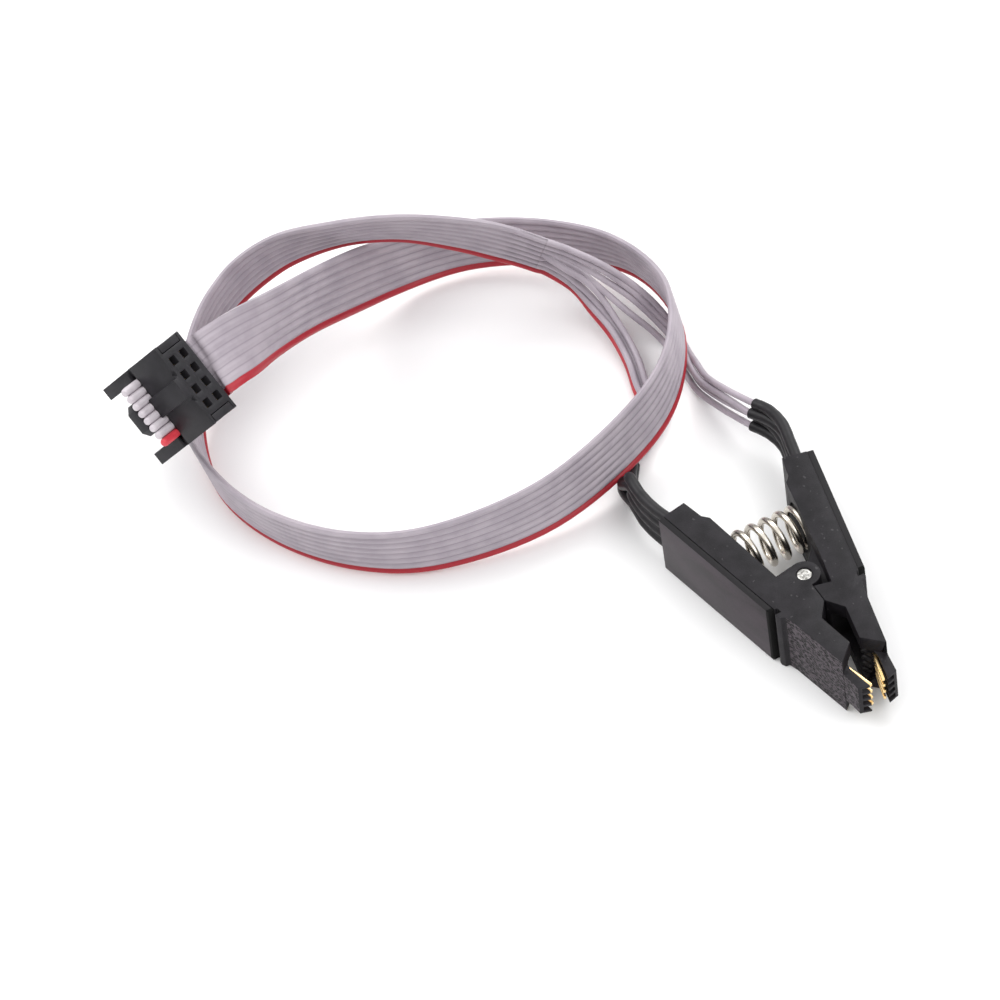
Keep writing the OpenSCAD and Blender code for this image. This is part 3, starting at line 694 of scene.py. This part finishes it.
SPRING_WIRE, SPRING_R, SPRING_LENGTH, SPRING_OPEN_TURNS = 0.95, 3.025, 12.6, 4.5
SPRING_X, SPRING_Z = -11.8, 5.1
POINTS_A_TURN, FIRST_ANGLE = 36, 40
turns = SPRING_OPEN_TURNS + 2
rise = (SPRING_LENGTH - 3 * SPRING_WIRE) / SPRING_OPEN_TURNS


def coil_travel(t):
    if t < 1:
        return t * SPRING_WIRE
    if t > turns - 1:
        return SPRING_LENGTH - SPRING_WIRE - (turns - t) * SPRING_WIRE
    return SPRING_WIRE + (t - 1) * rise


stations = np.linspace(0, turns, int(turns * POINTS_A_TURN) + 1)
travel = np.array([coil_travel(t) for t in stations])
# The change of pitch beside each closed turn is eased, as the winding machine leaves it.
for _ in range(10):
    travel[1:-1] = (travel[:-2] + 2 * travel[1:-1] + travel[2:]) / 4
turn_angle = np.radians(360 * stations + FIRST_ANGLE)
line = to_row(np.stack([SPRING_X + SPRING_R * np.sin(turn_angle),
                        travel + SPRING_WIRE / 2 - SPRING_LENGTH / 2,
                        SPRING_Z + SPRING_R * np.cos(turn_angle)], 1))
radii = np.full(len(line), SPRING_WIRE / 2 * MM)
radii[[0, -1]] *= 0.8
spring = tube("coil_spring", line, radii, 16)
nickel_wire, shader, here = finish("nickel_wire", Metallic=1.0)
run = here.node("ShaderNodeUVMap", {"uv_map": "run"}, {})
drawn = run.mapped(Scale=(30.0, 220.0, 1.0)).noise(1, 3)
feed(shader, Base_Color=here.noise(600, 3).tint((0.58, 0.53, 0.46, 1), (0.78, 0.73, 0.66, 1)),
     Roughness=0.16 + drawn * 0.16, Normal=drawn.relief(0.000012, 0.5))
spring.data.materials.append(nickel_wire)
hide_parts("spring")
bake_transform(spring)

# ---- Socket ----
# A two-row socket for 2.54 mm pins. The body holds eight fork contacts, and a clamp bar
# pressed on from behind drives the ribbon onto them. Both are black moulded polyester.

socket_plastic, shader, here = finish("socket_plastic", Specular_IOR_Level=0.32)
fine = here.noise(5200, 3, 0.6)
flow = here.noise(380, 3)
black = (flow * 0.7 + fine * 0.3).step(0.3, 0.7).tint(
    (0.014, 0.0135, 0.016, 1), (0.024, 0.0225, 0.027, 1))
feed(shader,
     Base_Color=black,
     Roughness=0.42 + fine * 0.16,
     Normal=(fine * 0.5 + flow * 0.5).relief(0.00005, 0.45))
for node, name in (("socket_body", "socket_block"), ("socket_cover", "clamp_bar")):
    piece = fair_copy(node, name, 0.1 * MM)
    piece.data.materials.append(socket_plastic)
    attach(piece, "left_half")

# ---- Fork contacts ----
# Eight stamped bronze contacts in the socket. Their forks cut through the insulation and
# grip the conductors. They are gold plated and keep their plain stamped shape.

for i in range(CONDUCTORS):
    fork = fair_copy(f"socket_contact_{i + 1}", f"fork_{i + 1}", 0.04 * MM)
    fork.data.materials.append(gold_plate)
    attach(fork, "left_half")

# ---- Ribbon in the clamp ----
# The ribbon runs through the clamp, turns up tightly behind it and ends as eight cut
# conductors in front of the bar, their ends crushed round by the cutter.

SLOT_Z, CLAMP_BACK = -6.9, -3.2
tight = CLAMP_BACK - SOCKET_BACK
clamp_line = [[0, y, SLOT_Z] for y in np.linspace(2.6, CLAMP_BACK, 9)]
clamp_line += [[0, CLAMP_BACK - tight * math.sin(g), SLOT_Z + tight - tight * math.cos(g)]
               for g in np.radians(np.arange(10, 91, 10))]
clamp_line += [[0, SOCKET_BACK, z] for z in (-5.6, -5.3, -4.9)]
line = np.array([from_socket(p) for p in clamp_line])
wide = np.tile(turned([1, 0, 0]), (len(line), 1))
clamped = loft("ribbon_in_clamp", to_row(line), wide, np.cross(headings(line), wide),
               [flat_ring * [0.999, 0.985]] * len(line), ring_u)
clamped.data.materials.append(ribbon_pvc)
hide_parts("ribbon_end")
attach(clamped, "left_half")

# Painted light: the cut ends are coloured lighter than the ribbon's insulation, as they lie in the
# shadow of the bar.
end_grey_painted_light = wire_finish("end_grey_painted_light", (0.66, 0.61, 0.65, 1), (0.55, 0.50, 0.54, 1))
end_red_painted_light = wire_finish("end_red_painted_light", (0.72, 0.06, 0.08, 1), (0.6, 0.04, 0.06, 1))
# Distance from the socket's middle and radius along a cut end, to its crushed tip.
END_Y = [2.4, 3.2, 4.4, 5.4, 5.9, 6.15, 6.3, 6.38, 6.4, 6.402]
END_R = np.array([0.6, 0.62, 0.63, 0.63, 0.62, 0.58, 0.5, 0.4, 0.3, 0.2]) * MM
end_ring, end_share = circle(16)
for k in range(CONDUCTORS):
    line = np.array([from_socket([(k - HALF) * PITCH, y, SLOT_Z]) for y in END_Y])
    wide = np.tile(turned([1, 0, 0]), (len(line), 1))
    stub = loft(f"cut_end_{k + 1}", to_row(line), wide, np.cross(headings(line), wide),
                [end_ring * r for r in END_R], end_share)
    stub.data.materials.append(end_red_painted_light if k == 0 else end_grey_painted_light)
    "insulation_red" if k == 0 else "insulation_grey"
    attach(stub, "left_half")
